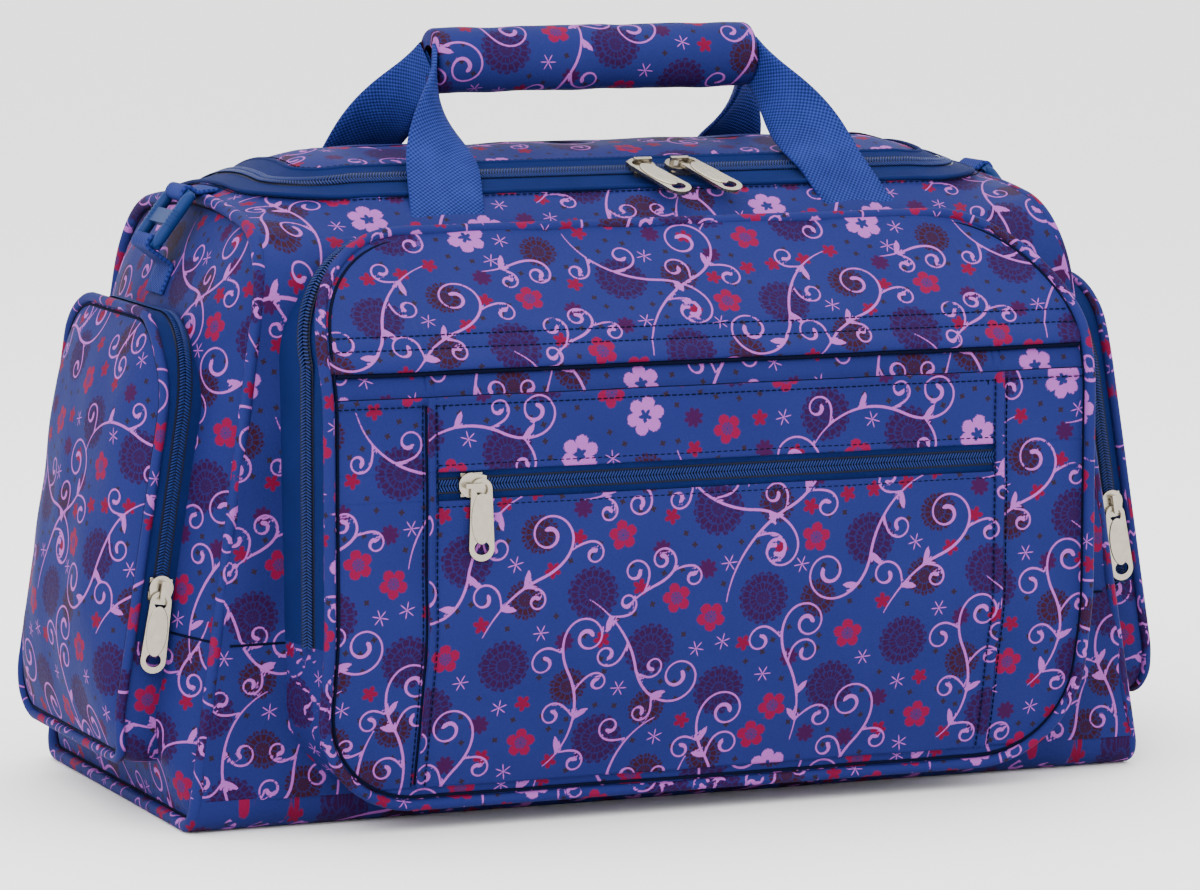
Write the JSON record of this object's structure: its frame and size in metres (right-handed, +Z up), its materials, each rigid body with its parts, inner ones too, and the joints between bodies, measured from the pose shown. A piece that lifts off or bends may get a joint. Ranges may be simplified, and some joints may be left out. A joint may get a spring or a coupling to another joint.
{
  "type": "soft travel holdall",
  "caption": "Soft printed-cloth travel bag with a zipped lid, a bulging front pocket, zipped end pockets, a webbing handle with a padded wrap and strap rings.",
  "frame": {"origin": "centre of the main compartment's base on the floor", "axes": "+X along the bag to its right end, -Y to the front pocket, +Z up"},
  "size_m": [0.5706, 0.2948, 0.38],
  "materials": {
    "print_cloth": "woven cloth with a dense floral scroll print",
    "zip_tape": "plain woven tape",
    "zip_chain": "satin coil",
    "webbing": "ribbed webbing",
    "ring_plastic": "satin moulded plastic",
    "nickel": "satin nickel plate",
    "board": "matt"
  },
  "bodies": {
    "bag": {"back_panel": "print_cloth", "base_board": "board", "bottom_panel": "print_cloth", "front_handle_strap": "webbing", "front_lower_panel": "print_cloth", "front_pocket_gusset": "print_cloth", "front_pocket_piping": "print_cloth", "front_pocket_zip_chain": "zip_chain", "front_pocket_zip_tape": "zip_tape", "front_upper_panel": "print_cloth", "front_wall": "print_cloth", "handle_wrap": "print_cloth", "left_anchor_ring": "ring_plastic", "left_end_panel": "print_cloth", "left_end_piping": "print_cloth", "left_end_pocket_gusset": "print_cloth", "left_end_pocket_panel": "print_cloth", "left_end_pocket_piping": "print_cloth", "left_end_pocket_zip_chain": "zip_chain", "left_end_pocket_zip_tape": "zip_tape", "left_lower_anchor_tab": "webbing", "left_upper_anchor_tab": "webbing", "lid_panel": "print_cloth", "main_zip_chain": "zip_chain", "main_zip_tape": "zip_tape", "pocket_zip_chain": "zip_chain", "pocket_zip_tape": "zip_tape", "rear_handle_strap": "webbing", "right_anchor_ring": "ring_plastic", "right_end_panel": "print_cloth", "right_end_piping": "print_cloth", "right_end_pocket_gusset": "print_cloth", "right_end_pocket_panel": "print_cloth", "right_end_pocket_piping": "print_cloth", "right_end_pocket_zip_chain": "zip_chain", "right_end_pocket_zip_tape": "zip_tape", "right_lower_anchor_tab": "webbing", "right_upper_anchor_tab": "webbing", "slip_pocket_band": "print_cloth", "zip_pocket_panel": "print_cloth"},
    "main_left_slider": {"main_left_slider": "nickel"},
    "main_left_puller": {"main_left_puller": "nickel"},
    "main_right_slider": {"main_right_slider": "nickel"},
    "main_right_puller": {"main_right_puller": "nickel"},
    "pocket_slider": {"pocket_slider": "nickel"},
    "pocket_puller": {"pocket_puller": "nickel"},
    "front_pocket_slider": {"front_pocket_slider": "nickel"},
    "front_pocket_puller": {"front_pocket_puller": "nickel"},
    "right_end_slider": {"right_end_slider": "nickel"},
    "right_end_puller": {"right_end_puller": "nickel"},
    "left_end_slider": {"left_end_slider": "nickel"},
    "left_end_puller": {"left_end_puller": "nickel"}
  },
  "joints": [
    {"name": "main_left_slide", "type": "slide", "parent": "bag", "child": "main_left_slider", "axis": [-1, 0, 0], "range_m": [0, 0.055]},
    {"name": "main_right_slide", "type": "slide", "parent": "bag", "child": "main_right_slider", "axis": [1, 0, 0], "range_m": [0, 0.028]},
    {"name": "pocket_slide", "type": "slide", "parent": "bag", "child": "pocket_slider", "axis": [1, 0, 0], "range_m": [0, 0.268]},
    {"name": "front_pocket_slide", "type": "slide", "parent": "bag", "child": "front_pocket_slider", "axis": [0, 0, 1], "range_m": [0, 0.095]},
    {"name": "right_end_slide", "type": "slide", "parent": "bag", "child": "right_end_slider", "axis": [-0.1483, 0, 0.9889], "range_m": [-0.008, 0.08]},
    {"name": "left_end_slide", "type": "slide", "parent": "bag", "child": "left_end_slider", "axis": [0.1483, 0, 0.9889], "range_m": [-0.008, 0.08]},
    {"name": "main_left_pull", "type": "hinge", "parent": "main_left_slider", "child": "main_left_puller", "pos_m": [-0.0008, -0.06197, 0.3133], "axis": [0, -0.3934, 0.9193], "range_deg": [-60, 4]},
    {"name": "main_right_pull", "type": "hinge", "parent": "main_right_slider", "child": "main_right_puller", "pos_m": [0.0268, -0.06197, 0.3133], "axis": [0, -0.3934, 0.9193], "range_deg": [-5, 20]},
    {"name": "pocket_pull", "type": "hinge", "parent": "pocket_slider", "child": "pocket_puller", "pos_m": [-0.1262, -0.172, 0.171], "axis": [0, -1, 0], "range_deg": [-30, 85]},
    {"name": "front_pocket_pull", "type": "hinge", "parent": "front_pocket_slider", "child": "front_pocket_puller", "pos_m": [0.202, -0.144, 0.0992], "axis": [1, 0, 0], "range_deg": [-20, 20]},
    {"name": "right_end_pull", "type": "hinge", "parent": "right_end_slider", "child": "right_end_puller", "pos_m": [0.25708, -0.0885, 0.1281], "axis": [0, -1, 0], "range_deg": [0, 85]},
    {"name": "left_end_pull", "type": "hinge", "parent": "left_end_slider", "child": "left_end_puller", "pos_m": [-0.25948, -0.0885, 0.1121], "axis": [0, 1, 0], "range_deg": [0, 85]}
  ]
}
